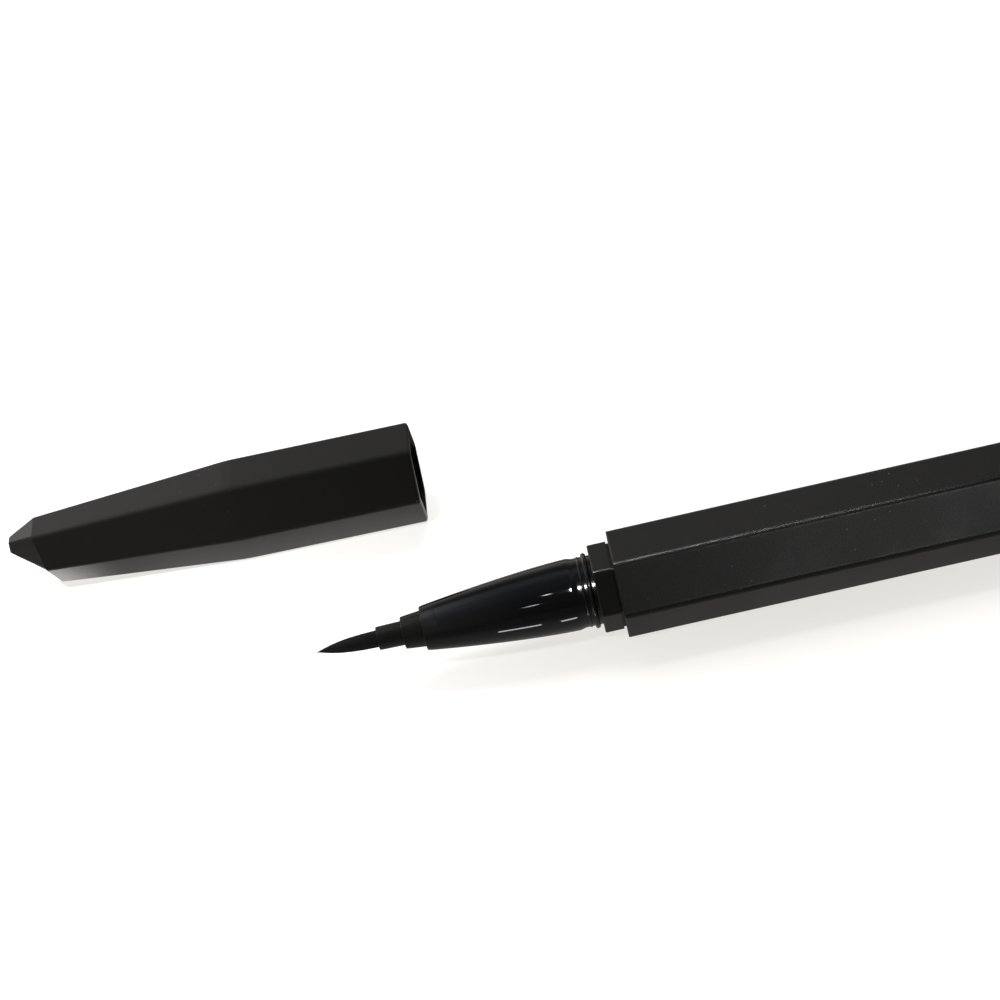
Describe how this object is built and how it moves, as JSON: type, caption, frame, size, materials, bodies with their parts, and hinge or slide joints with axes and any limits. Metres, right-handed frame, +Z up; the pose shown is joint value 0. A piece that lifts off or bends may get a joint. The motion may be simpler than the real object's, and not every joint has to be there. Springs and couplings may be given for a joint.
{
  "type": "liquid eyeliner pen",
  "caption": "Six-sided liquid eyeliner pen with a fine brush nib on a stepped round cone, and its tapered six-sided cap taken off and laid beside it.",
  "frame": {"origin": "middle of the barrel's lower flat, on the surface that the pen lies on", "axes": "+X along the pen towards its tail, +Z up, +Y towards the cap laid beside the pen"},
  "size_m": [0.1533, 0.0398, 0.01],
  "materials": {
    "satin_black_plastic": "fine satin texture on the flats, thin bright edges",
    "gloss_black_plastic": "polished",
    "nib_sleeve_plastic": "satin",
    "brush_filament": "filaments soaked with black ink",
    "feed_fibre": "bonded fibre rod, inked",
    "collector_plastic": "natural moulded",
    "tank_plastic": "translucent natural polypropylene",
    "seal_rubber": "soft, matte",
    "ball_steel": "polished steel",
    "spring_steel": "drawn wire"
  },
  "bodies": {
    "pen": {"barrel": "satin_black_plastic", "cap_seat_collar": "satin_black_plastic", "section_seal_ring": "seal_rubber", "front_section": "gloss_black_plastic", "nib_holder": "nib_sleeve_plastic", "nib_sleeve": "nib_sleeve_plastic", "brush_nib": "brush_filament", "feed_core": "feed_fibre", "collector": "collector_plastic", "tank_front_plug": "tank_plastic", "tank_seal_ring": "seal_rubber", "ink_tank": "tank_plastic", "tank_end_plug": "tank_plastic", "tail_plug": "satin_black_plastic", "tail_seal_ring": "seal_rubber"},
    "ball": {"mixing_ball": "ball_steel"},
    "cap": {"cap_shell": "satin_black_plastic", "cap_retainer": "satin_black_plastic", "cap_spring": "spring_steel"},
    "inner": {"inner_cap": "tank_plastic", "inner_cap_gasket": "seal_rubber"}
  },
  "joints": [
    {"name": "cap_slide", "type": "slide", "parent": "pen", "child": "cap", "axis": [0.9996, -0.0297, 0], "range_m": [0, 0.033]},
    {"name": "inner_cap_slide", "type": "slide", "parent": "cap", "child": "inner", "axis": [-0.9996, 0.0297, 0], "range_m": [0, 0.0012], "stiffness_N_per_m": 300, "deforming": ["cap_spring"]},
    {"name": "mixing_ball_slide", "type": "slide", "parent": "pen", "child": "ball", "axis": [1, 0, 0], "range_m": [0, 0.051]}
  ]
}
